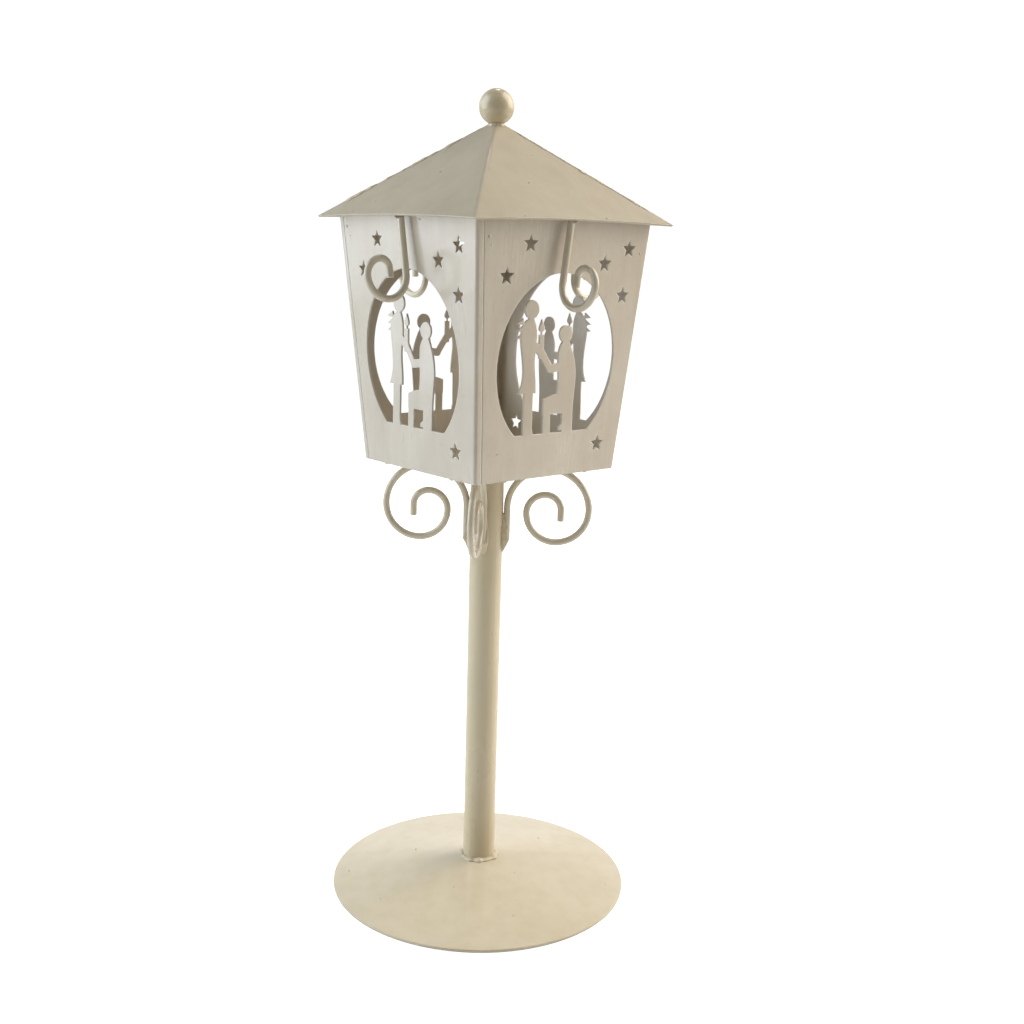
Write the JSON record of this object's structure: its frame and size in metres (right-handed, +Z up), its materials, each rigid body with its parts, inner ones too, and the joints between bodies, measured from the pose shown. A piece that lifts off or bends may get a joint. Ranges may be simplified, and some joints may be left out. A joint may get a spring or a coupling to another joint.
{
  "type": "street lamp candle lantern",
  "caption": "Table-top candle lantern shaped as a street lamp: round base, tube post, square box with cut-out figure windows, scroll brackets and a lift-off pyramid roof.",
  "frame": {"origin": "centre of the base's resting rim, on the surface it stands on", "axes": "+Z up the post; the lantern's four sides face +X, +Y, -X and -Y; the corner between -Y and +X is the front corner"},
  "size_m": [0.1518, 0.1518, 0.3903],
  "materials": {
    "sheet_enamel": "satin to gloss ivory enamel on steel sheet",
    "tube_and_ball_enamel": "gloss ivory enamel on steel tube and ball",
    "rod_enamel": "gloss ivory enamel on bent steel rod",
    "weld_enamel": "ivory enamel over uneven weld beads"
  },
  "bodies": {
    "stand": {"base_disc": "sheet_enamel", "post_foot_weld": "weld_enamel", "post_tube": "tube_and_ball_enamel", "scroll_bracket_front": "rod_enamel", "scroll_bracket_right": "rod_enamel", "scroll_bracket_rear": "rod_enamel", "scroll_bracket_left": "rod_enamel", "scroll_welds": "weld_enamel", "floor_plate": "sheet_enamel", "panel_front": "sheet_enamel", "panel_right": "sheet_enamel", "panel_rear": "sheet_enamel", "panel_left": "sheet_enamel", "box_tack_welds": "weld_enamel"},
    "roof": {"roof_half_front": "sheet_enamel", "roof_half_rear": "sheet_enamel", "ridge_weld_left": "weld_enamel", "ridge_weld_right": "weld_enamel", "finial_ball": "tube_and_ball_enamel", "finial_weld": "weld_enamel", "roof_clip_front": "rod_enamel", "roof_clip_right": "rod_enamel", "roof_clip_rear": "rod_enamel", "roof_clip_left": "rod_enamel", "clip_welds": "weld_enamel"}
  },
  "joints": [
    {"name": "roof_lift", "type": "slide", "parent": "stand", "child": "roof", "axis": [0, 0, 1], "range_m": [0, 0.06]}
  ]
}
